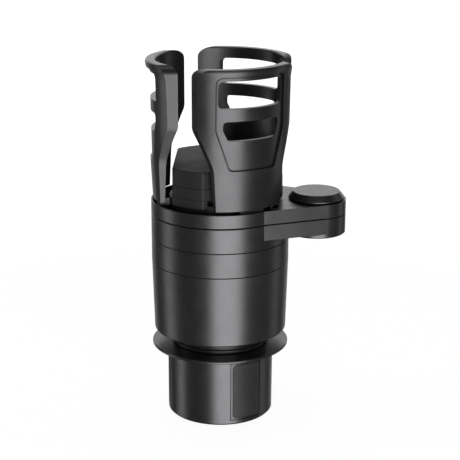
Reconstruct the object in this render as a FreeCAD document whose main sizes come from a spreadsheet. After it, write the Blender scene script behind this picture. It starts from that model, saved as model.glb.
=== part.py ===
import FreeCAD, Part
import math
import os
import re
import Sketcher

# Cup holder expander: a plug with three expanding jaws, a main cup that twists on it,
# and a second holder with three tall petals that swings out on the arm's pivot.
# Frame: origin at the centre of the plug's underside, +Z up, the arm points along +X.
# All sizes in millimetres.

Vector = FreeCAD.Vector
JAWS = 3
doc = FreeCAD.newDocument("cup_holder_expander")
sheet = doc.addObject("Spreadsheet::Sheet", "sizes")

# Driving dimensions, one cell each, with the word that the rest of the model uses
SIZES = [
    ("plug_radius", 35.0), ("plug_taper", 0.3), ("plug_wall", 2.4), ("plug_height", 47.6),
    ("flange_overhang", 10.3), ("flange_thickness", 1.8), ("deck_depth", 2.6), ("throat_set", 13.0),
    ("window_low", 3.2), ("window_half", 11.4), ("slide_gap", 0.3),
    ("jaw_phase", 2.0), ("jaw_depth", 6.5), ("jaw_tongue_half", 6.0), ("jaw_travel", 7.0),
    ("tongue_low", 5.0), ("tongue_low_height", 5.2), ("tongue_high_height", 5.7), ("tongue_lead", 3.0),
    ("twist_range", 100.0), ("pin_start", 15.0), ("pin_radius", 2.0),
    ("pad_half", 9.6), ("pad_depth", 2.8), ("pad_margin", 1.2), ("pad_corner", 2.5),
    ("cover_thickness", 3.0), ("guide_thickness", 2.2), ("guide_rib", 1.8), ("guide_bore", 9.0),
    ("pillar_set", 13.0), ("pillar_radius", 3.8), ("screw_radius", 1.5), ("screw_head", 2.8),
    ("screw_depth", 12.0), ("scroll_thickness", 4.0), ("scroll_set", 8.0),
    ("neck_gap", 0.4), ("neck_set", 4.0), ("neck_step", 1.2), ("neck_height", 9.1),
    ("neck_wall", 3.0), ("barrel_wall", 6.0), ("core_radius", 9.0), ("screw_boss_radius", 3.6),
    ("bolt_radius", 3.0), ("hex_flats", 14.0),
    ("cup_radius", 45.1), ("body_draft", 1.4), ("body_height", 47.0),
    ("body_corner", 0.9), ("cup_floor", 3.0), ("cup_wall", 4.1), ("bore_draft", 0.4),
    ("sleeve_step", 2.5), ("band_height", 16.3), ("collar_height", 16.0),
    ("bead_height", 0.25), ("bead_level", 11.0), ("seam_chamfer", 0.35), ("fit_gap", 0.1),
    ("pivot_reach", 17.7), ("boss_radius", 19.4), ("arm_root_angle", 50.0),
    ("arm_thickness", 10.0), ("boss_drop", 3.0), ("boss_bevel", 0.5),
    ("swing_gap", 0.4), ("shaft_radius", 4.0),
    ("washer_radius", 12.0), ("washer_sink", 1.0), ("head_radius", 7.2), ("head_height", 3.0),
    ("stop_place", 15.0), ("stop_radius", 1.25), ("stop_length", 9.2), ("swing_range", 180.0),
    ("ring_wall", 0.9), ("web_gap", 0.6), ("ring_height", 8.9), ("ring_floor", 2.8), ("nest_depth", 4.7),
    ("nest_radius", 13.0), ("bush_radius", 6.0),
    ("cap_radius", 18.2), ("cap_top_radius", 15.1), ("cap_wall_height", 1.7), ("cap_height", 5.2),
    ("cap_skin", 1.8), ("cap_lift", 0.8), ("cap_undercut", 1.6),
    ("skirt_wall", 0.8), ("skirt_depth", 2.7),
    ("petal_foot_wall", 2.55), ("petal_lift", 1.9), ("riser_set", 0.9),
    ("petal_waist_flare", 1.45), ("petal_brow_flare", 2.45),
    ("petal_lip_flare", 3.95), ("petal_height", 97.6),
    ("petal_half_low", 22.4), ("petal_half_knee", 24.6), ("petal_half_high", 33.1), ("petal_travel", 3.5),
    ("recess_depth", 1.3), ("recess_half", 24.1), ("recess_half_low", 16.2),
    ("slot_half", 22.1), ("slot_low_half", 19.3), ("slot_low_narrow", 16.3),
    ("foot_half", 8.0), ("foot_thickness", 2.6), ("foot_inner", 20.0), ("foot_screw", 25.0),
    ("brake_length", 6.0), ("brake_half", 4.5), ("brake_depth", 1.2), ("brake_place", 35.0),
    ("seat_margin", 12.0), ("seat_fit", 0.9), ("seat_corner", 2.0), ("seat_step", 0.2),
    ("cover_height", 8.5), ("cover_set", 8.2),
    ("block_low", 5.3), ("block_mid", 7.6), ("block_top", 10.7), ("block_bevel", 0.4),
    ("grip_half", 6.7), ("grip_depth", 3.4),
]

# Levels and places that follow from the driving dimensions
DERIVED = {
    "plug_radius_top": "(plug_radius + plug_taper)",
    "flange_radius": "(plug_radius + flange_overhang)",
    "flange_top": "(plug_height + flange_thickness)",
    "plug_inner": "(plug_radius - plug_wall)",
    "throat_radius": "(plug_radius - throat_set)",
    "jaw_back": "(plug_radius - jaw_depth)",
    "pad_back": "(plug_radius - pad_depth)",
    "pillar_place": "(plug_radius - pillar_set)",
    "scroll_radius": "(plug_radius - scroll_set)",
    "neck_radius": "(plug_radius - neck_set)",
    "deck_low": "(plug_height - deck_depth)",
    "window_high": "(plug_height - 4)",
    "scroll_top": "(plug_height - 4)",
    "scroll_level": "(scroll_top - scroll_thickness)",
    "tongue_high_low": "(scroll_level - 7.3)",
    "guide_top": "(tongue_high_low - slide_gap)",
    "guide_level": "(guide_top - guide_thickness)",
    "jaw_low": "(window_low + slide_gap)",
    "jaw_high": "(window_high - slide_gap)",
    "jaw_half": "(window_half - slide_gap)",
    "neck_low": "(flange_top + neck_gap)",
    "cup_low": "(neck_low + neck_height)",
    "cup_inside": "(cup_low + cup_floor)",
    "band_low": "(cup_low + body_height)",
    "collar_low": "(band_low + band_height)",
    "collar_top": "(collar_low + collar_height)",
    "arm_low": "(collar_top - arm_thickness)",
    "boss_low": "(arm_low - boss_drop)",
    "ring_low": "(collar_top + swing_gap)",
    "ring_top": "(ring_low + ring_height)",
    "floor_top": "(ring_low + ring_floor)",
    "body_radius_low": "(cup_radius - body_draft)",
    "bore_high": "(cup_radius - cup_wall)",
    "bore_low": "(bore_high - bore_draft)",
    "sleeve_radius": "(cup_radius - sleeve_step)",
    "band_radius": "(cup_radius + seam_chamfer / 7)",
    "ring_radius": "(cup_radius + fit_gap)",
    "well_radius": "(ring_radius - ring_wall)",
    "pivot_distance": "(cup_radius + pivot_reach)",
    "arm_root_x": "(ring_radius * cos(arm_root_angle))",
    "arm_root_y": "(ring_radius * sin(arm_root_angle))",
    "arm_reach": "(pivot_distance - arm_root_x)",
    "arm_span": "(sqrt(arm_reach * arm_reach + arm_root_y * arm_root_y))",
    "arm_slope": "(atan2(arm_root_y; arm_reach) - asin(boss_radius / arm_span))",
    "arm_tip_x": "(pivot_distance + boss_radius * sin(arm_slope))",
    "arm_tip_y": "(boss_radius * cos(arm_slope))",
    "nest_low": "(ring_top - nest_depth)",
    "petal_foot_radius": "(well_radius - slide_gap - 0.05)",
    "petal_inner": "(petal_foot_radius - petal_foot_wall)",
    "petal_waist_radius": "(petal_foot_radius + petal_waist_flare)",
    "petal_brow_radius": "(petal_foot_radius + petal_brow_flare)",
    "petal_lip_radius": "(petal_foot_radius + petal_lip_flare)",
    "petal_low": "(floor_top + slide_gap)",
    "petal_top": "(petal_low + petal_height)",
    "wall_low": "(ring_top + petal_lift)",
    "petal_waist": "(petal_top - 61.3)",
    "petal_knee": "(petal_top - 62.8)",
    "petal_shoulder": "(petal_top - 38.8)",
    "petal_brow": "(petal_top - 9.5)",
    "recess_low": "(petal_top - 63.7)",
    "recess_knee": "(petal_top - 38.3)",
    "recess_high": "(petal_top - 4.5)",
    "slot_low": "(petal_top - 24.4)",
    "slot_high": "(petal_top - 7.3)",
    "slot_two_low": "(petal_top - 44.6)",
    "slot_two_knee": "(petal_top - 38.1)",
    "slot_two_high": "(petal_top - 32.4)",
    "seat_radius": "(petal_inner - seat_fit)",
    "seat_flat": "(petal_inner - seat_margin)",
    "cover_radius": "(petal_inner - cover_set)",
    "seat_low": "(floor_top + cover_height)",
    "block_mid_low": "(seat_low + block_low)",
    "block_top_low": "(block_mid_low + block_mid)",
}


def fill_sheet():
    for row, (word, size) in enumerate(SIZES, start=1):
        sheet.set(f"A{row}", word)
        sheet.set(f"B{row}", str(size))
        sheet.setAlias(f"B{row}", word)
    doc.recompute()


WORDS = {word for word, _ in SIZES}


def linked(text):
    """The expression with derived words written out and driving words pointing at the sheet."""
    def swap(match):
        word = match.group(0)
        if word in DERIVED:
            return linked(DERIVED[word])
        if word in WORDS:
            return "sizes." + word
        return word
    return re.sub(r"[A-Za-z_][A-Za-z_0-9]*", swap, str(text))


def number(text):
    """The present value of an expression."""
    found = sheet.evalExpression(linked(text))
    return float(getattr(found, "Value", found))


def bind(item, place, text):
    item.setExpression(place, linked(text))


def new_body(label, turn="0"):
    body = doc.addObject("PartDesign::Body", label)
    body.Label = label
    body.Placement = FreeCAD.Placement(Vector(), FreeCAD.Rotation(Vector(0, 0, 1), 0))
    bind(body, "Placement.Rotation.Angle", turn)
    return body


def new_sketch(body, name, plane="XY_Plane", lift="0"):
    sketch = body.newObject("Sketcher::SketchObject", name)
    base = [item for item in body.Origin.OriginFeatures if item.Role == plane][0]
    sketch.AttachmentSupport = [(base, "")]
    sketch.MapMode = "FlatFace"
    bind(sketch, "AttachmentOffset.Base.z", lift)
    return sketch


def tie(sketch, kind, key_word, rule, text):
    """Adds a size rule to the sketch and ties it to the sheet."""
    key = sketch.addConstraint(rule)
    word = f"{kind}_{key_word}"
    sketch.renameConstraint(key, word)
    bind(sketch, "Constraints." + word, text)


def tie_point(sketch, shape, end, across, along):
    point = sketch.getPoint(shape, end)
    for kind, text, size in (("DistanceX", across, point.x), ("DistanceY", along, point.y)):
        tie(sketch, kind, f"{shape}_{end}", Sketcher.Constraint(kind, -1, 1, shape, end, size), text)


def draw_outline(sketch, corners):
    """A closed outline of straight lines whose corners are tied to the sheet."""
    draw_rounded(sketch, [(across, along, None) for across, along in corners])


def draw_rounded(sketch, corners):
    """A closed outline whose corners are sharp, or rounded where a radius is given."""
    count = len(corners)
    spots = [Vector(number(across), number(along), 0) for across, along, _ in corners]
    entry = list(spots)
    leave = list(spots)
    bends = {}
    for i, (_, _, radius) in enumerate(corners):
        if radius is None:
            continue
        back = (spots[i - 1] - spots[i]).normalize()
        ahead = (spots[(i + 1) % count] - spots[i]).normalize()
        half_turn = (math.pi - back.getAngle(ahead)) / 2
        reach = number(radius) * math.tan(half_turn)
        entry[i] = spots[i] + back * reach
        leave[i] = spots[i] + ahead * reach
        middle = spots[i] + (back + ahead).normalize() * (number(radius) / math.cos(half_turn))
        left_turn = (back * -1).cross(ahead).z > 0
        first, last = (entry[i], leave[i]) if left_turn else (leave[i], entry[i])
        angles = [math.atan2(end.y - middle.y, end.x - middle.x) for end in (first, last)]
        circle = Part.Circle(middle, Vector(0, 0, 1), number(radius))
        bends[i] = (Part.ArcOfCircle(circle, angles[0], angles[1]), left_turn)
    lines = []
    for i in range(count):
        lines.append(sketch.addGeometry(Part.LineSegment(leave[i], entry[(i + 1) % count]), False))
    for i, (across, along, radius) in enumerate(corners):
        coming = lines[i - 1]
        going = lines[i]
        if radius is None:
            sketch.addConstraint(Sketcher.Constraint("Coincident", coming, 2, going, 1))
            tie_point(sketch, going, 1, across, along)
            continue
        curve, left_turn = bends[i]
        arc = sketch.addGeometry(curve, False)
        ends = (1, 2) if left_turn else (2, 1)
        sketch.addConstraint(Sketcher.Constraint("Tangent", coming, 2, arc, ends[0]))
        sketch.addConstraint(Sketcher.Constraint("Tangent", arc, ends[1], going, 1))
        tie(sketch, "Radius", str(arc), Sketcher.Constraint("Radius", arc, number(radius)), radius)
        corner = sketch.addGeometry(Part.Point(spots[i]), True)
        tie_point(sketch, corner, 1, across, along)
        sketch.addConstraint(Sketcher.Constraint("PointOnObject", corner, 1, coming))
        sketch.addConstraint(Sketcher.Constraint("PointOnObject", corner, 1, going))


def draw_box(sketch, low_x, high_x, low_y, high_y, radius=None):
    corners = [(low_x, low_y), (high_x, low_y), (high_x, high_y), (low_x, high_y)]
    draw_rounded(sketch, [(across, along, radius) for across, along in corners])


def draw_circle(sketch, across, along, radius):
    middle = Vector(number(across), number(along), 0)
    shape = sketch.addGeometry(Part.Circle(middle, Vector(0, 0, 1), number(radius)), False)
    tie_point(sketch, shape, 3, across, along)
    tie(sketch, "Radius", str(shape), Sketcher.Constraint("Radius", shape, number(radius)), radius)


def draw_hexagon(sketch, across, along, flats):
    corners = []
    for step in range(6):
        angle = 60 * step + 30
        corners.append((f"{across} + {flats} / 2 / cos(30) * cos({angle})",
                        f"{along} + {flats} / 2 / cos(30) * sin({angle})"))
    draw_outline(sketch, corners)


def pad(body, sketch, length):
    feature = body.newObject("PartDesign::Pad", "pad")
    feature.Profile = sketch
    bind(feature, "Length", length)
    body.Tip = feature
    return feature


def cut(body, sketch, length):
    """A pocket that runs from the sketch plane along its normal."""
    feature = body.newObject("PartDesign::Pocket", "pocket")
    feature.Profile = sketch
    feature.Reversed = True
    bind(feature, "Length", length)
    body.Tip = feature
    cuts.append(feature)
    return feature


def turn_profile(body, name, corners, angle=360.0):
    sketch = new_sketch(body, name, "XZ_Plane")
    draw_outline(sketch, corners)
    feature = body.newObject("PartDesign::Revolution", "turn")
    feature.Profile = sketch
    feature.ReferenceAxis = (sketch, ["V_Axis"])
    feature.Angle = angle
    feature.Midplane = angle < 360
    body.Tip = feature
    return feature


def turned(label, corners, shift="0", turn="0"):
    """A body of revolution; shift moves its axis along +X."""
    body = new_body(label, turn)
    turn_profile(body, label + "_profile", corners)
    bind(body, "Placement.Base.x", shift)
    return body


def repeat(body, feature):
    """The feature three times round the body's own axis."""
    pattern = body.newObject("PartDesign::PolarPattern", "ring_of")
    pattern.Originals = [feature]
    axis = [item for item in body.Origin.OriginFeatures if item.Role == "Z_Axis"][0]
    pattern.Axis = (axis, [""])
    pattern.Angle = 360
    pattern.Occurrences = JAWS
    body.Tip = pattern
    return pattern


def dress(body, kind, names, size):
    """Rounds (Fillet) or bevels (Chamfer) the named edges."""
    base = body.Tip
    feature = body.newObject("PartDesign::" + kind, kind.lower())
    feature.Base = (base, names)
    bind(feature, "Radius" if kind == "Fillet" else "Size", size)
    body.Tip = feature


def edge_names(body, accept):
    doc.recompute()
    return [f"Edge{place}" for place, edge in enumerate(body.Tip.Shape.Edges, start=1) if accept(edge)]


def is_post(edge):
    """A straight edge that stands upright."""
    if edge.Curve.TypeId != "Part::GeomLine":
        return False
    return abs(abs(edge.tangentAt(edge.FirstParameter).z) - 1) < 1e-4


cuts = []
bodies = []
fill_sheet()


# Plug: moulded wall, deck and flange in one piece, with a window for each jaw
def make_base_shell():
    body = new_body("base_shell", "jaw_phase")
    turn_profile(body, "shell_profile", [
        ("plug_inner", "0"),
        ("plug_radius - 1.2", "0"),
        ("plug_radius", "1.2"),
        ("plug_radius_top", "plug_height"),
        ("flange_radius - 0.4", "plug_height"),
        ("flange_radius", "plug_height + 0.4"),
        ("flange_radius", "flange_top - 0.5"),
        ("flange_radius - 0.5", "flange_top"),
        ("throat_radius", "flange_top"),
        ("throat_radius", "deck_low"),
        ("plug_inner", "deck_low"),
    ])
    window = new_sketch(body, "jaw_window", lift="window_low")
    draw_box(window, "-plug_radius - 3", "2 - plug_inner", "-window_half", "window_half")
    repeat(body, cut(body, window, "window_high - window_low"))
    for name, level in (("cover_ledge", "cover_thickness"), ("guide_ledge", "guide_level - 3")):
        ledge = new_sketch(body, name, lift=level)
        draw_box(ledge, "plug_inner - 1.8", "plug_inner + 0.5", "-5", "5")
        repeat(body, pad(body, ledge, "3"))
    return body


# Two ribs that guide a jaw's tongue, one pair for each jaw
def add_guide_ribs(body, level, height, inner, outer):
    near = "jaw_tongue_half + slide_gap"
    far = near + " + guide_rib"
    for name, low, high in (("left_rib", near, far), ("right_rib", f"-1 * ({far})", f"-1 * ({near})")):
        rib = new_sketch(body, name, lift=level)
        draw_box(rib, f"-{outer}", f"-{inner}", low, high)
        repeat(body, pad(body, rib, height))


# Floor of the plug, set flush with the rim of the shell
def make_base_cover():
    body = new_body("base_cover", "jaw_phase")
    plate = new_sketch(body, "floor_plate")
    draw_circle(plate, "0", "0", "plug_inner - fit_gap")
    pad(body, plate, "cover_thickness")
    add_guide_ribs(body, "cover_thickness", "tongue_low + 2", "12", "(jaw_back - 2)")
    sink = new_sketch(body, "screw_sink")
    draw_circle(sink, "pillar_place", "0", "screw_head + slide_gap")
    repeat(body, cut(body, sink, "1.9"))
    hole = new_sketch(body, "screw_hole")
    draw_circle(hole, "pillar_place", "0", "screw_radius + fit_gap")
    repeat(body, cut(body, hole, "cover_thickness"))
    return body


# Inner plate on three pillars, open where the jaws stand
def make_guide_plate():
    body = new_body("guide_plate", "jaw_phase")
    plate = new_sketch(body, "plate_disc", lift="guide_level")
    draw_circle(plate, "0", "0", "plug_inner - fit_gap")
    draw_circle(plate, "0", "0", "guide_bore")
    pad(body, plate, "guide_thickness")
    notch = new_sketch(body, "jaw_notch", lift="guide_level")
    draw_box(notch, "-plug_radius - 2", "-jaw_back + 1", "-window_half", "window_half")
    repeat(body, cut(body, notch, "guide_thickness"))
    add_guide_ribs(body, "guide_top", "tongue_high_height", "10.5", "(jaw_back - 3.5)")
    pillar = new_sketch(body, "pillar", lift="cover_thickness")
    draw_circle(pillar, "pillar_place", "0", "pillar_radius")
    repeat(body, pad(body, pillar, "guide_level - cover_thickness"))
    bore = new_sketch(body, "pillar_bore", lift="cover_thickness")
    draw_circle(bore, "pillar_place", "0", "screw_radius")
    repeat(body, cut(body, bore, "screw_depth + 1"))
    return body


# Three round-headed screws in one node. The slot is in the head's outer face.
def make_screws(label, place, head, shank, slot_low, turn):
    body = new_body(label, turn)
    pieces = []
    for name, (low, high), radius in (("head", head, "screw_head"), ("shank", shank, "screw_radius")):
        round_plan = new_sketch(body, name, lift=low)
        draw_circle(round_plan, place, "0", radius)
        pieces.append(pad(body, round_plan, f"{high} - ({low})"))
    slot = new_sketch(body, "slot", lift=slot_low)
    draw_box(slot, f"{place} - 1.7", f"{place} + 1.7", "-0.4", "0.4")
    pieces.append(cut(body, slot, "0.8"))
    pattern = repeat(body, pieces[0])
    pattern.Originals = pieces
    return body


# Jaw: a piece of the plug's wall on two tongues, with a pin for the scroll
def make_jaw(label, turn):
    body = new_body(label, turn)
    block = new_sketch(body, "jaw_block", lift="jaw_low")
    draw_box(block, "jaw_back", "plug_radius + 2", "-jaw_half", "jaw_half")
    pad(body, block, "jaw_high - jaw_low")
    seat = new_sketch(body, "pad_seat", "YZ_Plane", lift="pad_back")
    draw_box(seat, "-pad_half", "pad_half", "jaw_low + pad_margin", "jaw_high - pad_margin", "pad_corner")
    cut(body, seat, "6")
    skin = new_sketch(body, "skin", lift="jaw_low")
    draw_circle(skin, "0", "0", "plug_radius - 0.1")
    draw_circle(skin, "0", "0", "plug_radius + 12")
    cut(body, skin, "jaw_high - jaw_low")
    for name, level, height in (("low_tongue", "tongue_low", "tongue_low_height"),
                                ("high_tongue", "tongue_high_low", "tongue_high_height")):
        tongue = new_sketch(body, name, lift=level)
        draw_box(tongue, "pin_start - tongue_lead", "jaw_back + 0.5", "-jaw_tongue_half", "jaw_tongue_half")
        pad(body, tongue, height)
    pin = new_sketch(body, "cam_pin", lift="tongue_high_low + tongue_high_height - 0.5")
    draw_circle(pin, "pin_start", "0", "pin_radius")
    pad(body, pin, "scroll_top - 0.4 - (tongue_high_low + tongue_high_height - 0.5)")
    return body


# Rubber pad in the jaw's seat, flush with the plug
def make_jaw_pad(label, turn):
    body = new_body(label, turn)
    sheet_piece = new_sketch(body, "pad_block", "YZ_Plane", lift="pad_back")
    draw_box(sheet_piece, "fit_gap - pad_half", "pad_half - fit_gap",
             "jaw_low + pad_margin + fit_gap", "jaw_high - pad_margin - fit_gap", "pad_corner - fit_gap")
    pad(body, sheet_piece, "5")
    skin = new_sketch(body, "skin", lift="jaw_low")
    draw_circle(skin, "0", "0", "plug_radius + 0.05")
    draw_circle(skin, "0", "0", "plug_radius + 12")
    cut(body, skin, "jaw_high - jaw_low")
    return body


# Scroll: a plate whose three spiral slots push the jaws' pins outwards as it turns.
# A point of a slot's middle line stands at radius pin_start + jaw_travel * share and
# at the jaw's own direction less the twist that brings it there.
def spiral_slot(direction, half_width):
    steps = 10
    level = number("scroll_level")
    start = number("pin_start")
    travel = number("jaw_travel")
    sweep = number("twist_range")
    sides = ([], [])
    middles = []
    for step in range(steps + 1):
        share = step / steps
        radius = start + travel * share
        angle = math.radians(direction - sweep * share)
        lean = math.atan2(travel, radius * math.radians(sweep))
        middle = Vector(radius * math.cos(angle), radius * math.sin(angle), level)
        outward = Vector(math.cos(angle + lean), math.sin(angle + lean), 0) * half_width
        sides[0].append(middle + outward)
        sides[1].append(middle - outward)
        middles.append(middle)
    edges = []
    for side in sides:
        curve = Part.BSplineCurve()
        curve.interpolate(side)
        edges.append(curve.toShape())
    edges.append(Part.makeLine(sides[0][0], sides[1][0]))
    edges.append(Part.makeLine(sides[0][-1], sides[1][-1]))
    depth = number("scroll_thickness")
    slot = Part.Face(Part.Wire(Part.__sortEdges__(edges))).extrude(Vector(0, 0, depth))
    for end in (middles[0], middles[-1]):
        slot = slot.fuse(Part.makeCylinder(half_width, depth, end))
    return slot


def make_scroll_plate():
    body = new_body("scroll_blank")
    disc = new_sketch(body, "scroll_disc", lift="scroll_level")
    draw_circle(disc, "0", "0", "scroll_radius")
    pad(body, disc, "scroll_thickness")
    socket = new_sketch(body, "hex_socket", lift="scroll_level + 1")
    draw_hexagon(socket, "0", "0", "(hex_flats + 2 * fit_gap)")
    cut(body, socket, "scroll_thickness")
    bore = new_sketch(body, "bolt_bore", lift="scroll_level")
    draw_circle(bore, "0", "0", "bolt_radius + 0.2")
    cut(body, bore, "1")
    doc.recompute()
    shape = body.Shape.copy()
    slot = spiral_slot(number("jaw_phase + 180"), number("pin_radius + slide_gap"))
    for _ in range(JAWS):
        shape = shape.cut(slot)
        slot.rotate(Vector(), Vector(0, 0, 1), 360 / JAWS)
    plate = doc.addObject("Part::Feature", "scroll_plate")
    plate.Label = "scroll_plate"
    plate.Shape = shape
    plate.Placement = FreeCAD.Placement()
    return plate


# Neck: stepped ring under the cup, with the barrel that turns in the deck
def make_neck_ring():
    body = new_body("neck_ring")
    turn_profile(body, "neck_profile", [
        ("bolt_radius + fit_gap", "scroll_top"),
        ("core_radius", "scroll_top"),
        ("core_radius", "neck_low"),
        ("throat_radius - barrel_wall", "neck_low"),
        ("throat_radius - barrel_wall", "scroll_top"),
        ("throat_radius - slide_gap - fit_gap", "scroll_top"),
        ("throat_radius - slide_gap - fit_gap", "neck_low"),
        ("neck_radius + neck_step", "neck_low"),
        ("neck_radius + neck_step", "neck_low + 1.8"),
        ("neck_radius", "neck_low + 2.3"),
        ("neck_radius", "cup_low"),
        ("neck_radius - neck_wall", "cup_low"),
        ("neck_radius - neck_wall", "neck_low + 3.2"),
        ("core_radius", "neck_low + 3.2"),
        ("core_radius", "cup_low"),
        ("bolt_radius + fit_gap", "cup_low"),
    ])
    drive = new_sketch(body, "hex_drive", lift="scroll_level + 1.2")
    draw_hexagon(drive, "0", "0", "hex_flats")
    draw_circle(drive, "0", "0", "bolt_radius + fit_gap")
    pad(body, drive, "scroll_thickness - 1.2")
    boss = new_sketch(body, "screw_boss", lift="neck_low + 3")
    draw_circle(boss, "pillar_place", "0", "screw_boss_radius")
    repeat(body, pad(body, boss, "cup_low - neck_low - 3"))
    bore = new_sketch(body, "screw_bore", lift="neck_low + 2")
    draw_circle(bore, "pillar_place", "0", "screw_radius")
    repeat(body, cut(body, bore, "cup_low - neck_low - 2"))
    return body


# Bolt, washer and nut that hold cup, neck and scroll together through the deck
def make_centre_fixings():
    bolt = turned("centre_bolt", [
        ("0", "scroll_level - 8"),
        ("bolt_radius", "scroll_level - 8"),
        ("bolt_radius", "cup_low"),
        ("5.2", "cup_low"),
        ("5.2", "cup_inside - 0.4"),
        ("4.8", "cup_inside"),
        ("0", "cup_inside"),
    ])
    key = new_sketch(bolt, "hex_key", lift="cup_inside - 2")
    draw_hexagon(key, "0", "0", "5")
    cut(bolt, key, "2")
    washer = turned("centre_washer", [
        ("bolt_radius + 0.1", "scroll_level - 1.2"),
        ("8.5", "scroll_level - 1.2"),
        ("8.5", "scroll_level"),
        ("bolt_radius + 0.1", "scroll_level"),
    ])
    nut = new_body("centre_nut")
    hexagon = new_sketch(nut, "nut_flats", lift="scroll_level - 5.7")
    draw_hexagon(hexagon, "0", "0", "10")
    draw_circle(hexagon, "0", "0", "bolt_radius + 0.02")
    pad(nut, hexagon, "4.5")
    return [bolt, washer, nut]


def is_foot_rim(edge):
    """The outer circle of the cup's underside."""
    if edge.Curve.TypeId != "Part::GeomCircle":
        return False
    return abs(edge.Curve.Radius - number("body_radius_low")) < 0.01


# Cup: rounded foot, tapered wall, and a thinner sleeve that carries band and collar
def make_main_cup():
    body = new_body("main_cup")
    turn_profile(body, "cup_profile", [
        ("5.5", "cup_low"),
        ("body_radius_low", "cup_low"),
        ("cup_radius", "band_low - seam_chamfer"),
        ("cup_radius - seam_chamfer", "band_low"),
        ("sleeve_radius", "band_low"),
        ("sleeve_radius", "collar_low + bead_level"),
        ("sleeve_radius + bead_height", "collar_low + bead_level + 0.5"),
        ("sleeve_radius + bead_height", "collar_low + bead_level + 1.2"),
        ("sleeve_radius", "collar_low + bead_level + 1.7"),
        ("sleeve_radius", "collar_top - 0.2"),
        ("bore_high + 0.6", "collar_top - 0.2"),
        ("bore_high", "collar_top - 1.2"),
        ("bore_low", "cup_inside + 2"),
        ("bore_low - 2", "cup_inside"),
        ("5.5", "cup_inside"),
    ])
    dress(body, "Fillet", edge_names(body, is_foot_rim), "body_corner")
    sink = new_sketch(body, "screw_sink", lift="cup_inside - 1.8")
    draw_circle(sink, "pillar_place", "0", "screw_head + slide_gap")
    repeat(body, cut(body, sink, "1.8"))
    hole = new_sketch(body, "screw_hole", lift="cup_low")
    draw_circle(hole, "pillar_place", "0", "screw_radius + fit_gap")
    repeat(body, cut(body, hole, "cup_floor"))
    return body


def make_trim_band():
    return turned("trim_band", [
        ("sleeve_radius + fit_gap", "band_low"),
        ("band_radius - seam_chamfer", "band_low"),
        ("band_radius", "band_low + seam_chamfer"),
        ("band_radius", "collar_low - seam_chamfer"),
        ("band_radius - seam_chamfer", "collar_low"),
        ("sleeve_radius + fit_gap", "collar_low"),
    ])


# The arm in plan: straight flanks from the ring, tangent to the round boss
def add_arm(body, level, height, root):
    arm = new_sketch(body, "arm_plan", lift=level)
    draw_outline(arm, [
        (root, "-arm_root_y * 0.98"),
        ("arm_root_x", "-arm_root_y"),
        ("arm_tip_x", "-arm_tip_y"),
        ("arm_tip_x", "arm_tip_y"),
        ("arm_root_x", "arm_root_y"),
        (root, "arm_root_y * 0.98"),
    ])
    pad(body, arm, height)


def add_boss(body, level, height):
    boss = new_sketch(body, "boss_plan", lift=level)
    draw_circle(boss, "pivot_distance", "0", "boss_radius")
    pad(body, boss, height)


def cut_round(body, name, across, radius, level, height):
    hole = new_sketch(body, name, lift=level)
    draw_circle(hole, across, "0", radius)
    return cut(body, hole, height)


def is_boss_foot(edge):
    """The round edge of the boss's underside."""
    if edge.Curve.TypeId != "Part::GeomCircle":
        return False
    low = abs(edge.Curve.Center.z - number("boss_low")) < 0.01
    return low and abs(edge.Curve.Radius - number("boss_radius")) < 0.01


def make_arm_collar():
    body = new_body("arm_collar")
    turn_profile(body, "collar_profile", [
        ("sleeve_radius - 2", "collar_low"),
        ("ring_radius - seam_chamfer", "collar_low"),
        ("ring_radius", "collar_low + seam_chamfer"),
        ("ring_radius", "collar_top - seam_chamfer"),
        ("ring_radius - seam_chamfer", "collar_top"),
        ("sleeve_radius - 2", "collar_top"),
    ])
    add_arm(body, "arm_low", "arm_thickness - 0.2", "arm_root_x - 3")
    add_boss(body, "boss_low", "arm_thickness + boss_drop - 0.2")
    dress(body, "Chamfer", edge_names(body, is_boss_foot), "boss_bevel")
    cut_round(body, "cup_bore", "0", "sleeve_radius + fit_gap", "collar_low", "collar_height")
    cut_round(body, "bead_groove", "0", "sleeve_radius + bead_height + 0.15",
              "collar_low + bead_level - 0.2", "2.1")
    cut_round(body, "shaft_bore", "pivot_distance", "shaft_radius + 0.03",
              "boss_low", "arm_thickness + boss_drop")
    cut_round(body, "head_sink", "pivot_distance", "head_radius + 0.4", "boss_low", "head_height + 1.4")
    cut_round(body, "washer_seat", "pivot_distance", "washer_radius + slide_gap",
              "collar_top - washer_sink", "2")
    pin = new_sketch(body, "pin_bore", lift="collar_top - 7")
    draw_circle(pin, "pivot_distance", "stop_place", "stop_radius + 0.02")
    cut(body, pin, "8")
    return body


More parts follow.
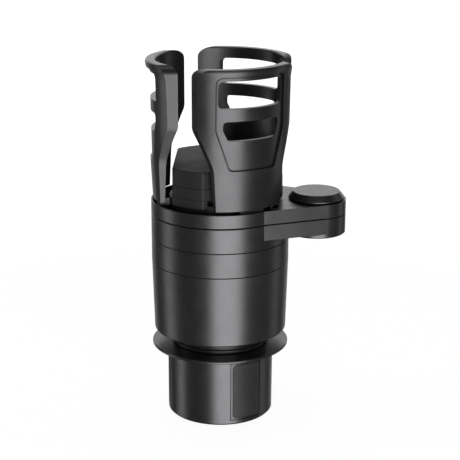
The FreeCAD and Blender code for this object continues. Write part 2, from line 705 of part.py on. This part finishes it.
# Shoulder bolt, washers and nut of the pivot, with the pin that stops the swing
def make_pivot_fixings():
    bolt = turned("pivot_bolt", [
        ("0", "boss_low + 1.4"),
        ("head_radius", "boss_low + 1.4"),
        ("head_radius", "boss_low + 1.4 + head_height"),
        ("shaft_radius", "boss_low + 1.4 + head_height"),
        ("shaft_radius", "ring_top + 2.5"),
        ("shaft_radius - 0.5", "ring_top + 3"),
        ("0", "ring_top + 3"),
    ], shift="pivot_distance")
    key = new_sketch(bolt, "hex_key", lift="boss_low + 1.4")
    draw_hexagon(key, "0", "0", "6")
    cut(bolt, key, "1.8")
    arm_washer = turned("arm_washer", [
        ("shaft_radius + slide_gap", "collar_top - washer_sink"),
        ("washer_radius", "collar_top - washer_sink"),
        ("washer_radius", "ring_low - fit_gap"),
        ("shaft_radius + slide_gap", "ring_low - fit_gap"),
    ], shift="pivot_distance")
    top_washer = turned("pivot_washer", [
        ("shaft_radius + fit_gap", "nest_low + fit_gap"),
        ("washer_radius - 1", "nest_low + fit_gap"),
        ("washer_radius - 1", "nest_low + 1.1"),
        ("shaft_radius + fit_gap", "nest_low + 1.1"),
    ], shift="pivot_distance")
    spring = turned("spring_washer", [
        ("shaft_radius + 0.2", "nest_low + 1.1"),
        ("7.4", "nest_low + 1.1"),
        ("7.4", "nest_low + 2.6"),
        ("shaft_radius + 0.2", "nest_low + 2.6"),
    ], shift="pivot_distance")
    split = new_sketch(spring, "split", lift="nest_low + 1")
    draw_outline(split, [("3.5", "-0.8"), ("8", "0.2"), ("8", "1.4"), ("3.5", "0.4")])
    cut(spring, split, "2")
    nut = new_body("pivot_nut")
    hexagon = new_sketch(nut, "nut_flats", lift="nest_low + 2.6")
    draw_hexagon(hexagon, "pivot_distance", "0", "13")
    draw_circle(hexagon, "pivot_distance", "0", "shaft_radius + 0.02")
    pad(nut, hexagon, "4.2")
    pin = new_body("stop_pin")
    stem = new_sketch(pin, "pin_round", lift="collar_top - 7")
    draw_circle(stem, "pivot_distance", "stop_place", "stop_radius")
    pad(pin, stem, "stop_length")
    bush = turned("pivot_bush", [
        ("shaft_radius + 0.05", "ring_low + fit_gap"),
        ("bush_radius", "ring_low + fit_gap"),
        ("bush_radius", "nest_low"),
        ("shaft_radius + 0.05", "nest_low"),
    ], shift="pivot_distance")
    cap = turned("pivot_cap", [
        ("nest_radius - fit_gap - skirt_wall", "ring_top - skirt_depth"),
        ("nest_radius - fit_gap", "ring_top - skirt_depth"),
        ("nest_radius - fit_gap", "ring_top"),
        ("cap_radius - cap_undercut", "ring_top"),
        ("cap_radius - cap_undercut", "ring_top + cap_lift"),
        ("cap_radius", "ring_top + cap_lift"),
        ("cap_radius", "ring_top + cap_wall_height - 0.2"),
        ("cap_radius - 0.2", "ring_top + cap_wall_height"),
        ("cap_top_radius + 0.2", "ring_top + cap_height - 0.1"),
        ("cap_top_radius - 0.3", "ring_top + cap_height"),
        ("0", "ring_top + cap_height"),
        ("0", "ring_top + cap_height - cap_skin"),
        ("nest_radius - fit_gap - skirt_wall", "ring_top + cap_height - cap_skin"),
    ], shift="pivot_distance")
    return [bolt, arm_washer, top_washer, spring, nut, pin, bush, cap]


# Ring of the second holder: floor, low wall and the upper half of the arm in one piece
def make_holder_ring():
    body = new_body("holder_ring")
    turn_profile(body, "ring_profile", [
        ("0", "ring_low"),
        ("ring_radius - seam_chamfer", "ring_low"),
        ("ring_radius", "ring_low + seam_chamfer"),
        ("ring_radius", "ring_top - 0.3"),
        ("ring_radius - 0.3", "ring_top"),
        ("0", "ring_top"),
    ])
    add_arm(body, "ring_low + 0.2", "ring_height - 0.2", "arm_root_x - 3")
    add_boss(body, "ring_low", "ring_height")
    cut_round(body, "petal_well", "0", "well_radius", "floor_top", "ring_height")
    add_arm_web(body)
    cut_round(body, "bush_bore", "pivot_distance", "bush_radius + 0.02", "ring_low", "ring_height")
    cut_round(body, "nut_nest", "pivot_distance", "nest_radius", "nest_low", "nest_depth + 1")
    add_stop_groove(body)
    hole = new_sketch(body, "guide_hole", lift="ring_low + 0.6")
    draw_circle(hole, "-foot_screw", "0", "screw_radius")
    repeat(body, cut(body, hole, "ring_floor - 0.6"))
    pocket = new_sketch(body, "brake_pocket", lift="floor_top - brake_depth")
    draw_box(pocket, "-brake_place - brake_length / 2", "-brake_place + brake_length / 2",
             "-brake_half", "brake_half")
    repeat(body, cut(body, pocket, "brake_depth + 1"))
    return body


# Web at the arm's root: it fills the well between the flanks of the two nearest petals
def add_arm_web(body):
    web = new_sketch(body, "arm_web", lift="floor_top")
    flank = "(petal_half_low + web_gap)"
    near = "(cover_radius + 1)"
    near_half = f"({near} * cos(30) - {flank}) / sin(30)"
    wall_x = f"({flank} * cos(30) + sin(30) * sqrt(ring_radius * ring_radius - {flank} * {flank}))"
    wall_half = f"({wall_x} * cos(30) - {flank}) / sin(30)"
    draw_outline(web, [
        (near, f"-({near_half})"),
        (wall_x, f"-({wall_half})"),
        ("ring_radius + 2", f"-({wall_half}) + 4"),
        ("ring_radius + 2", f"{wall_half} - 4"),
        (wall_x, wall_half),
        (near, near_half),
    ])
    pad(body, web, "ring_top - floor_top")


# Half-round groove under the boss that the stop pin runs in
def add_stop_groove(body):
    groove = new_sketch(body, "stop_groove", lift="ring_low")
    inner = number("stop_place - stop_radius - 0.35")
    outer = number("stop_place + stop_radius + 0.35")
    centre = Vector(number("pivot_distance"), 0, 0)
    spare = math.degrees((number("stop_radius") + 0.35) / number("stop_place"))
    low = math.radians(90 - number("swing_range") - spare)
    high = math.radians(90 + spare)
    circles = [Part.Circle(centre, Vector(0, 0, 1), radius) for radius in (inner, outer)]
    arcs = [Part.ArcOfCircle(circle, low, high) for circle in circles]
    ends = [Part.LineSegment(arcs[0].value(angle), arcs[1].value(angle)) for angle in (low, high)]
    groove.addGeometry(arcs + ends, False)
    cut(body, groove, "2.5")


# Petal: one flared wall piece with a rolled lip, a recessed panel with two openings,
# and a flat slotted foot, on a riser that lifts the wall clear of the ring. It is turned
# as part of a ring, then trimmed to the outline seen from outside, so that both flanks
# run parallel to the way it slides.
PETAL_ARC = 150.0


def trim_flanks(body, outline):
    """Removes what lies outside an outline given as rising half widths, levels and radii."""
    trim = new_sketch(body, "flank_trim", "YZ_Plane")
    top = outline[-1][1]
    bottom = outline[0][1]
    for sign in ("", "-"):
        side = [(f"{sign}({half})", level, radius) for half, level, radius in outline]
        far = f"{sign}(60)"
        draw_rounded(trim, side + [(far, top, None), (far, bottom, None)])
    cut(body, trim, "60")


def make_recess_tool(label):
    body = new_body(label + "_recess")
    turn_profile(body, "recess_profile", [
        ("petal_waist_radius - recess_depth", "recess_low - 4"),
        ("petal_lip_radius + 4", "recess_low - 4"),
        ("petal_lip_radius + 4", "recess_high"),
        ("petal_brow_radius - recess_depth", "recess_high"),
    ], PETAL_ARC)
    trim = new_sketch(body, "recess_trim", "YZ_Plane")
    draw_outline(trim, [("-60", "recess_low - 10"), ("60", "recess_low - 10"),
                        ("60", "recess_high + 5"), ("-60", "recess_high + 5")])
    draw_rounded(trim, [
        ("-recess_half_low", "recess_low", "3.4"),
        ("recess_half_low", "recess_low", "3.4"),
        ("recess_half", "recess_knee", "9"),
        ("recess_half", "recess_high - 0.01", "4"),
        ("-recess_half", "recess_high - 0.01", "4"),
        ("-recess_half", "recess_knee", "9"),
    ])
    cut(body, trim, "60")
    return body


def make_petal(label, turn):
    tool = make_recess_tool(label)
    body = new_body(label, turn)
    turn_profile(body, "wall_profile", [
        ("petal_inner", "wall_low"),
        ("petal_foot_radius", "wall_low"),
        ("petal_waist_radius", "petal_waist"),
        ("petal_brow_radius", "petal_brow"),
        ("petal_lip_radius - 1", "petal_top - 6.4"),
        ("petal_lip_radius - 0.35", "petal_top - 3.8"),
        ("petal_lip_radius", "petal_top - 1.6"),
        ("petal_lip_radius - 0.2", "petal_top - 0.7"),
        ("petal_lip_radius - 0.7", "petal_top - 0.2"),
        ("petal_lip_radius - 1.4", "petal_top"),
        ("petal_inner + 0.8", "petal_top"),
        ("petal_inner", "petal_top - 0.8"),
    ], PETAL_ARC)
    trim_flanks(body, [
        ("petal_half_low", "petal_low - 1", None),
        ("petal_half_knee", "petal_knee", "30"),
        ("petal_half_high", "petal_shoulder", "14"),
        ("petal_half_high", "petal_top", "6"),
        ("petal_half_high - 8", "petal_top + 0.01", None),
        ("petal_half_high - 8", "petal_top + 2", None),
    ])
    slots = new_sketch(body, "panel_slots", "YZ_Plane")
    draw_box(slots, "-slot_half", "slot_half", "slot_low", "slot_high", "3.2")
    draw_rounded(slots, [
        ("-slot_low_narrow", "slot_two_low", "2.4"),
        ("slot_low_narrow", "slot_two_low", "2.4"),
        ("slot_low_half", "slot_two_knee", "3"),
        ("slot_low_half", "slot_two_high", "2.4"),
        ("-slot_low_half", "slot_two_high", "2.4"),
        ("-slot_low_half", "slot_two_knee", "3"),
    ])
    cut(body, slots, "60")
    recess = body.newObject("PartDesign::Boolean", "recess")
    recess.Type = "Cut"
    recess.setObjects([tool])
    body.Tip = recess
    foot = new_sketch(body, "foot", lift="petal_low")
    draw_box(foot, "foot_inner", "petal_foot_radius - riser_set", "-foot_half", "foot_half")
    pad(body, foot, "foot_thickness")
    riser = new_sketch(body, "riser", lift="petal_low")
    draw_box(riser, "petal_inner - riser_set", "petal_foot_radius - riser_set", "-foot_half", "foot_half")
    pad(body, riser, "wall_low - petal_low + riser_set")
    slot = new_sketch(body, "stop_slot", lift="petal_low")
    draw_box(slot, "foot_screw - screw_radius - 0.5", "foot_screw + petal_travel + screw_radius + 0.5",
             "-screw_radius - 0.4", "screw_radius + 0.4")
    cut(body, slot, "foot_thickness")
    return body


# Round blocks in the middle of the second holder, with a flat facing each petal
def make_block(label, low, height, step):
    body = new_body(label)
    plan = new_sketch(body, "block_plan", lift=low)
    draw_circle(plan, "0", "0", f"seat_radius + {step}")
    pad(body, plan, height)
    flat = new_sketch(body, "petal_flat", lift=low)
    draw_box(flat, "-seat_radius - 2", f"-(seat_flat + {step})", "-seat_radius", "seat_radius")
    repeat(body, cut(body, flat, height))
    dress(body, "Fillet", edge_names(body, is_flat_end), "seat_corner")
    return body


def is_flat_end(edge):
    """An upright edge, but not the seam of the round wall."""
    return is_post(edge) and abs(edge.CenterOfMass.y) > 1


def bevel_top(body):
    """Bevels the edges round the top face."""
    high = body.Tip.Shape.BoundBox.ZMax
    dress(body, "Chamfer", edge_names(body, lambda edge: edge.CenterOfMass.z > high - 0.01), "block_bevel")


# Cover over the petals' feet, with a channel for each foot
def make_guide_cover():
    body = new_body("guide_cover")
    plan = new_sketch(body, "cover_plan", lift="floor_top")
    draw_circle(plan, "0", "0", "cover_radius")
    pad(body, plan, "cover_height")
    channel = new_sketch(body, "foot_channel", lift="floor_top")
    draw_box(channel, "-40", "-(foot_inner - petal_travel - 1)", "-foot_half - 0.4", "foot_half + 0.4")
    repeat(body, cut(body, channel, "foot_thickness + 2 * slide_gap"))
    hole = new_sketch(body, "screw_hole", lift="floor_top")
    draw_circle(hole, "-foot_screw", "0", "screw_radius + fit_gap")
    repeat(body, cut(body, hole, "cover_height"))
    sink = new_sketch(body, "screw_sink", lift="seat_low - 2.2")
    draw_circle(sink, "-foot_screw", "0", "screw_head + slide_gap")
    repeat(body, cut(body, sink, "2.2"))
    return body


def make_seat_blocks():
    base = make_block("seat_block_base", "seat_low", "block_low", "2 * seat_step")
    grip = new_sketch(base, "finger_slots", lift="seat_low")
    for sign in ("", "-"):
        draw_box(grip, "-grip_half", "grip_half", f"{sign}(seat_flat - grip_depth)", f"{sign}(seat_radius + 3)")
    cut(base, grip, "block_low")
    middle = make_block("seat_block_middle", "block_mid_low", "block_mid", "seat_step")
    top = make_block("seat_block_top", "block_top_low", "block_top", "0")
    doc.recompute()
    for block in (middle, top):
        bevel_top(block)
    return [base, middle, top]


# Three friction pads in one node, each in its pocket under a petal's foot
def make_brake_pads():
    body = new_body("brake_pads")
    half = "brake_length / 2 - 0.2"
    strip = new_sketch(body, "brake_strip", lift="floor_top - brake_depth")
    draw_box(strip, f"-brake_place - ({half})", f"-brake_place + {half}",
             "0.2 - brake_half", "brake_half - 0.2")
    repeat(body, pad(body, strip, "brake_depth + slide_gap - 0.05"))
    return body


def make_all():
    bodies.append(make_base_shell())
    bodies.append(make_base_cover())
    bodies.append(make_guide_plate())
    bodies.append(make_screws("cover_screws", "pillar_place", ("0.3", "1.9"),
                              ("1.9", "cover_thickness + screw_depth"), "0.3", "jaw_phase"))
    for place in range(JAWS):
        turn = f"jaw_phase + {180 + 120 * place}"
        bodies.append(make_jaw(f"jaw_{place + 1}", turn))
        bodies.append(make_jaw_pad(f"jaw_pad_{place + 1}", turn))
    bodies.append(make_scroll_plate())
    bodies.append(turned("friction_ring", [
        ("scroll_radius - 2.3", "scroll_top"),
        ("scroll_radius - 0.2", "scroll_top"),
        ("scroll_radius - 0.2", "deck_low - slide_gap"),
        ("scroll_radius - 2.3", "deck_low - slide_gap"),
    ]))
    bodies.append(make_neck_ring())
    bodies.extend(make_centre_fixings())
    bodies.append(make_main_cup())
    bodies.append(make_screws("cup_screws", "pillar_place", ("cup_inside - 1.7", "cup_inside"),
                              ("neck_low + 2.5", "cup_inside - 1.7"), "cup_inside - 0.8", "0"))
    bodies.append(turned("cup_mat", [
        ("0", "cup_inside"),
        ("bore_low - 2.2", "cup_inside"),
        ("bore_low - 0.9", "cup_inside + 1.3"),
        ("0", "cup_inside + 1.3"),
    ]))
    bodies.append(make_trim_band())
    bodies.append(make_arm_collar())
    bodies.extend(make_pivot_fixings())
    bodies.append(make_holder_ring())
    for place in range(JAWS):
        bodies.append(make_petal(f"petal_{place + 1}", f"{180 + 120 * place}"))
    bodies.append(make_guide_cover())
    bodies.append(make_screws("guide_screws", "-foot_screw", ("seat_low - 1.8", "seat_low"),
                              ("ring_low + 1", "seat_low - 1.8"), "seat_low - 0.8", "0"))
    bodies.append(make_brake_pads())
    bodies.extend(make_seat_blocks())


def check_model():
    doc.recompute()
    for item in doc.Objects:
        if "Invalid" in item.State or "Error" in item.State:
            owner = item.getParent().Label if item.getParent() else "the document"
            raise RuntimeError(f"{item.Label} in {owner} failed: {item.State}")
    for piece in bodies:
        if piece.Shape.isNull() or not piece.Shape.isValid():
            raise RuntimeError(f"{piece.Label} has no valid shape")
    for feature in cuts:
        before = feature.BaseFeature.Shape.Volume
        if feature.Shape.Volume > before - 0.01:
            raise RuntimeError(f"{feature.Label} in {feature.getParent().Label} removes nothing")


def write_parts():
    os.makedirs("parts", exist_ok=True)
    for piece in bodies:
        piece.Shape.exportStep(f"parts/{piece.Label}.step")


make_all()
check_model()
write_parts()
for piece in bodies:
    box = piece.Shape.BoundBox
    print(f"{piece.Label}: {len(piece.Shape.Solids)} solid(s), {piece.Shape.Volume / 1000:.2f} cm3, "
          f"z {box.ZMin:.1f} to {box.ZMax:.1f}")
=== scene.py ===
import math

import bpy
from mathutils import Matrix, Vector

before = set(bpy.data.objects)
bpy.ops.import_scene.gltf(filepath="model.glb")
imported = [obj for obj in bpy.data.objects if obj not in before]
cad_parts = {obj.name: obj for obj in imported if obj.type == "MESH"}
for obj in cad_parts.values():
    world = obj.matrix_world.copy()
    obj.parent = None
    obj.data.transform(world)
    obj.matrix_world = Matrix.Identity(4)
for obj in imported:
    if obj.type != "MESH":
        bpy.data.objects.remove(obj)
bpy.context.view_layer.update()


# Plug: the wall, the deck and the wide flange are one moulding of black ABS.
# The mould is spark eroded, so its faces are satin with a fine grain, and every
# edge is broken by a small radius that catches the light.
def add_cloud(tree, place, scale, detail, roughness=0.5):
    noise = tree.nodes.new("ShaderNodeTexNoise")
    noise.inputs["Scale"].default_value = scale
    noise.inputs["Detail"].default_value = detail
    noise.inputs["Roughness"].default_value = roughness
    tree.links.new(place, noise.inputs["Vector"])
    return noise.outputs["Fac"]


def spread(tree, source, low, high, to_low, to_high):
    """Turns the values from low to high into ones from to_low to to_high."""
    remap = tree.nodes.new("ShaderNodeMapRange")
    remap.inputs["From Min"].default_value = low
    remap.inputs["From Max"].default_value = high
    remap.inputs["To Min"].default_value = to_low
    remap.inputs["To Max"].default_value = to_high
    tree.links.new(source, remap.inputs["Value"])
    return remap.outputs["Result"]


def start_finish(name):
    finish = bpy.data.materials.new(name)
    finish.use_nodes = True
    tree = finish.node_tree
    tree.nodes.clear()
    out = tree.nodes.new("ShaderNodeOutputMaterial")
    face = tree.nodes.new("ShaderNodeBsdfPrincipled")
    tree.links.new(face.outputs["BSDF"], out.inputs["Surface"])
    place = tree.nodes.new("ShaderNodeTexCoord").outputs["Object"]
    return finish, tree, face, place


def mottle(tree, face, place, tone, change, scale):
    """Slow changes of tone over the piece, as pigment and handling leave them."""
    tint = tree.nodes.new("ShaderNodeMixRGB")
    tint.inputs["Color1"].default_value = [part * (1 - change) for part in tone] + [1]
    tint.inputs["Color2"].default_value = [part * (1 + change) for part in tone] + [1]
    clouds = add_cloud(tree, place, scale, 3)
    tree.links.new(spread(tree, clouds, 0.3, 0.7, 0, 1), tint.inputs["Fac"])
    tree.links.new(tint.outputs["Color"], face.inputs["Base Color"])


def wear(tree, face, patches, duller_from, smoothest, dullest):
    """Patches of more and less gloss."""
    gloss = spread(tree, patches, 0.3, duller_from, smoothest, dullest)
    tree.links.new(gloss, face.inputs["Roughness"])


def grain(tree, face, place, scale, strength, depth, edge):
    """Fine grain over faces whose edges are rounded by a small radius."""
    broken_edge = tree.nodes.new("ShaderNodeBevel")
    broken_edge.samples = 8
    broken_edge.inputs["Radius"].default_value = edge
    bump = tree.nodes.new("ShaderNodeBump")
    tree.links.new(broken_edge.outputs["Normal"], bump.inputs["Normal"])
    bump.inputs["Strength"].default_value = strength
    bump.inputs["Distance"].default_value = depth
    tree.links.new(add_cloud(tree, place, scale, 2, 0.55), bump.inputs["Height"])
    tree.links.new(bump.outputs["Normal"], face.inputs["Normal"])


def paint_seam_shade(tree, face, reach):
    """Painted shade: an occlusion mask darkens the specular tint in seams, steps and corners, so
    less of the lamps shows in them.
    """
    painted_shade_occlusion = tree.nodes.new("ShaderNodeAmbientOcclusion")
    painted_shade_occlusion.samples = 12
    painted_shade_occlusion.only_local = False
    painted_shade_occlusion.inputs["Distance"].default_value = reach
    shade = spread(tree, painted_shade_occlusion.outputs["AO"], 0.55, 0.92, 0, 1)
    tree.links.new(shade, face.inputs["Specular Tint"])


def moulded_plastic(name, tone, rough, shine, grain_strength, edge):
    finish, tree, face, place = start_finish(name)
    mottle(tree, face, place, tone, 0.14, 38)
    patches = add_cloud(tree, place, 95, 5, 0.6)
    wear(tree, face, patches, 0.72, rough - 0.03, rough + 0.045)
    grain(tree, face, place, 2600, grain_strength, 0.00012, edge)
    face.inputs["Specular IOR Level"].default_value = shine
    # painted shade: specular tint darkened in seams, steps and corners
    paint_seam_shade(tree, face, 0.0022)
    return finish


def cover(finish, *nodes):
    """Gives each solid the finish in place of its plain colour."""
    for node in nodes:
        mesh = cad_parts[node].data
        mesh.materials.clear()
        mesh.materials.append(finish)


black = (0.0085, 0.0085, 0.009)
black_abs = moulded_plastic("black_abs", black, 0.32, 0.8, 0.14, 0.00022)
cover(black_abs, "base_shell")


# Floor of the plug and the plate that guides the jaws: plainer mouldings of the same
# black ABS, never polished, held to the pillars by three pan-head screws.
inner_abs = moulded_plastic("inner_abs", (0.014, 0.014, 0.0145), 0.44, 0.6, 0.2, 0.00025)
cover(inner_abs, "base_cover", "guide_plate")


def plated_metal(name, tone, rough):
    """Bright metal with a fine grain and cloudy patches, as the plating leaves them."""
    finish, tree, face, place = start_finish(name)
    mottle(tree, face, place, tone, 0.1, 300)
    face.inputs["Metallic"].default_value = 1.0
    patches = add_cloud(tree, place, 700, 4, 0.6)
    wear(tree, face, patches, 0.7, rough - 0.06, rough + 0.1)
    grain(tree, face, place, 1800, 0.1, 0.00008, 0.00015)
    return finish


zinc = plated_metal("zinc_plated_steel", (0.56, 0.56, 0.57), 0.32)
cover(zinc, "cover_screws")


# Three jaws: blocks of black ABS, flush with the plug when closed, each with a tongue
# above and below that slides in the plug. Sliding pieces are moulded a little duller.
# A rubber pad is bonded into each jaw's seat to grip the vehicle's holder.
def moulded_rubber(name, tone):
    finish, tree, face, place = start_finish(name)
    mottle(tree, face, place, tone, 0.18, 60)
    patches = add_cloud(tree, place, 160, 4, 0.6)
    wear(tree, face, patches, 0.7, 0.46, 0.58)
    grain(tree, face, place, 1900, 0.3, 0.00015, 0.0003)
    face.inputs["Specular IOR Level"].default_value = 0.4
    return finish


rubber = moulded_rubber("pad_rubber", (0.013, 0.013, 0.0135))
sliding_abs = moulded_plastic("sliding_abs", black, 0.32, 0.66, 0.14, 0.00022)
cover(sliding_abs, "jaw_1", "jaw_2", "jaw_3")
cover(rubber, "jaw_pad_1", "jaw_pad_2", "jaw_pad_3")


# Scroll plate of grey acetal, whose spiral slots drive the jaws, and the nylon ring
# that runs between it and the deck. Both are moulded and run dry.
acetal = moulded_plastic("grey_acetal", (0.05, 0.05, 0.052), 0.36, 0.5, 0.1, 0.0002)
nylon = moulded_plastic("natural_nylon", (0.62, 0.6, 0.54), 0.4, 0.5, 0.1, 0.0002)
cover(acetal, "scroll_plate")
cover(nylon, "friction_ring")


# Neck: the stepped ring that turns in the plug's throat, screwed up into the cup and
# held down by the bolt, washer and nut in the middle.
cover(black_abs, "neck_ring")
cover(zinc, "centre_bolt", "centre_washer", "centre_nut")


# Main cup: one deep moulding of black ABS that stands on the neck. A rubber mat lies
# on its floor, over the heads of the three screws that hold the neck.
cover(black_abs, "main_cup")
cover(zinc, "cup_screws")
cover(rubber, "cup_mat")


# Trim band and the collar with the lower half of the arm: they slide over the cup's
# thin sleeve, and the collar snaps over its bead. The seams between them stay visible.
cover(black_abs, "trim_band", "arm_collar")


# Pivot: a shoulder bolt through both halves of the arm, with a nylon washer, a brass
# bush, a spring washer and a nut under the cap, and the pin that stops the swing.
brass = plated_metal("turned_brass", (0.72, 0.52, 0.22), 0.3)
cover(zinc, "pivot_bolt", "pivot_washer", "spring_washer", "pivot_nut", "stop_pin")
cover(nylon, "arm_washer")
cover(brass, "pivot_bush")


# Second holder: its ring carries the upper half of the arm in one moulding, and the
# bevelled cap snaps into the nest over the nut.
cover(black_abs, "holder_ring", "pivot_cap")


# Three petals: tall flared walls with a sunk panel and two openings each. Their feet
# slide in the ring under the screwed cover, braked by small rubber pads.
cover(sliding_abs, "petal_1", "petal_2", "petal_3")
cover(inner_abs, "guide_cover")
cover(zinc, "guide_screws")
cover(rubber, "brake_pads")


# Seat: three loose round blocks with a flat towards each petal, stacked to lift a
# short cup. They are moulded in a duller grade, with a fine bevel on each top edge.
seat_abs = moulded_plastic("seat_abs", (0.009, 0.009, 0.0095), 0.58, 0.3, 0.3, 0.0002)
cover(seat_abs, "seat_block_base", "seat_block_middle", "seat_block_top")


# Studio lamps: soft panels, one in front, one on each side, two behind and one
# overhead, as for a packshot of dark plastic. They are slightly cool.
camera_side = 2


def soft_panel(name, wide, tall, radiance, middle, facing):
    light = bpy.data.lights.new(name, "AREA")
    light.shape = "RECTANGLE"
    light.size = wide
    light.size_y = tall
    light.energy = radiance * math.pi * wide * tall
    light.color = (0.975, 0.975, 1.0)
    lamp = bpy.data.objects.new(name, light)
    lamp.location = middle
    lamp.rotation_mode = "QUATERNION"
    lamp.rotation_quaternion = facing
    lamp.visible_camera = False
    bpy.context.scene.collection.objects.link(lamp)


def standing_panel(name, azimuth, distance, wide, low, high, radiance):
    """Stands upright and faces the cup, at an azimuth counted from the camera's."""
    turn = math.radians(azimuth + camera_side)
    away = Vector((math.sin(turn), -math.cos(turn), 0))
    middle = away * distance + Vector((0, 0, (low + high) / 2))
    soft_panel(name, wide, high - low, radiance, middle, (-away).to_track_quat("-Z", "Y"))


standing_panel("front_panel", 11.5, 1.2, 1.08, -1.3, 0.45, 5.15)
standing_panel("left_panel", -95, 1.2, 0.42, -0.9, 1.3, 1.55)
standing_panel("right_panel", 108, 1.2, 0.36, -0.9, 1.3, 0.55)
standing_panel("back_panel", 180, 2.7, 4.4, 0.0, 2.3, 1.2)
standing_panel("low_back_panel", 180, 1.6, 2.4, -1.1, -0.05, 0.5)
soft_panel("top_panel", 1.2, 1.2, 0.8, (0, 0, 1.8), (1, 0, 0, 0))


# Room and floor: a white backdrop that only the camera sees, and a sheet of white
# paper that takes the cup's shadow. Gloss on the cup comes from the lamps alone.
def larger(tree, first, second):
    pick = tree.nodes.new("ShaderNodeMath")
    pick.operation = "MAXIMUM"
    tree.links.new(first, pick.inputs[0])
    tree.links.new(second, pick.inputs[1])
    return pick.outputs["Value"]


def blend(tree, share, first, second):
    mix = tree.nodes.new("ShaderNodeMixShader")
    tree.links.new(share, mix.inputs["Fac"])
    tree.links.new(first, mix.inputs[1])
    tree.links.new(second, mix.inputs[2])
    return mix.outputs["Shader"]


def white_room(tree, strength):
    room = tree.nodes.new("ShaderNodeBackground")
    room.inputs["Color"].default_value = (1, 1, 1, 1)
    room.inputs["Strength"].default_value = strength
    return room.outputs["Background"]


world = bpy.data.worlds.new("studio")
bpy.context.scene.world = world
world.use_nodes = True
sky = world.node_tree
sky.nodes.clear()
ray = sky.nodes.new("ShaderNodeLightPath")
seen = larger(sky, ray.outputs["Is Camera Ray"], ray.outputs["Is Transmission Ray"])
whole_room = blend(sky, seen, white_room(sky, 0.05), white_room(sky, 1.0))
sky_out = sky.nodes.new("ShaderNodeOutputWorld")
sky.links.new(whole_room, sky_out.inputs["Surface"])

floor_size = 12
below_cup = 0.0002
bpy.ops.mesh.primitive_plane_add(size=floor_size, location=(0, 0, -below_cup))
floor = bpy.context.object
floor.name = "floor"
pale = bpy.data.materials.new("pale_floor")
pale.use_nodes = True
ground = pale.node_tree
ground.nodes.clear()
ray = ground.nodes.new("ShaderNodeLightPath")
paper = ground.nodes.new("ShaderNodeBsdfDiffuse")
paper.inputs["Color"].default_value = (0.85, 0.85, 0.85, 1)
glow = ground.nodes.new("ShaderNodeEmission")
glow.inputs["Strength"].default_value = 1.17
clear = ground.nodes.new("ShaderNodeBsdfTransparent")

# The paper's own shade counts near the cup and fades to plain white further out
spot = ground.nodes.new("ShaderNodeTexCoord").outputs["Object"]
from_middle = ground.nodes.new("ShaderNodeVectorMath")
from_middle.operation = "LENGTH"
ground.links.new(spot, from_middle.inputs[0])
share = ground.nodes.new("ShaderNodeMath")
share.operation = "MULTIPLY"
ground.links.new(ray.outputs["Is Camera Ray"], share.inputs[0])
ground.links.new(spread(ground, from_middle.outputs["Value"], 0.35, 0.8, 0.8, 1), share.inputs[1])
lit = blend(ground, share.outputs["Value"], paper.outputs["BSDF"], glow.outputs["Emission"])

# Light, gloss and views from below pass through the paper
passing = larger(ground, ray.outputs["Is Glossy Ray"], ray.outputs["Is Shadow Ray"])
underside = ground.nodes.new("ShaderNodeNewGeometry").outputs["Backfacing"]
passing = larger(ground, passing, underside)
floor_out = ground.nodes.new("ShaderNodeOutputMaterial")
ground.links.new(blend(ground, passing, lit, clear.outputs["BSDF"]), floor_out.inputs["Surface"])
floor.data.materials.append(pale)


# Camera: a long lens from slightly above and to the side. The shifts put the cup
# where the photograph's 460-pixel frame has it.
frame_width = 460
focal_pixels = 1400
shift_right = 9.85
shift_up = 20.5
distance = 0.928
camera_tilt = 17.5
aim = Vector((0, 0, 0.1107))
tilt = math.radians(camera_tilt)
side = math.radians(camera_side)
toward = Vector((math.sin(side) * math.cos(tilt), -math.cos(side) * math.cos(tilt), math.sin(tilt)))
lens = bpy.data.cameras.new("camera")
lens.sensor_width = 36
lens.lens = lens.sensor_width * focal_pixels / frame_width
lens.shift_x = shift_right / frame_width
lens.shift_y = shift_up / frame_width
lens.clip_start = 0.01
camera = bpy.data.objects.new("camera", lens)
camera.location = aim + toward * distance
camera.rotation_mode = "QUATERNION"
camera.rotation_quaternion = (-toward).to_track_quat("-Z", "Y")
bpy.context.scene.collection.objects.link(camera)
bpy.context.scene.camera = camera
bpy.context.scene.view_settings.view_transform = "Standard"
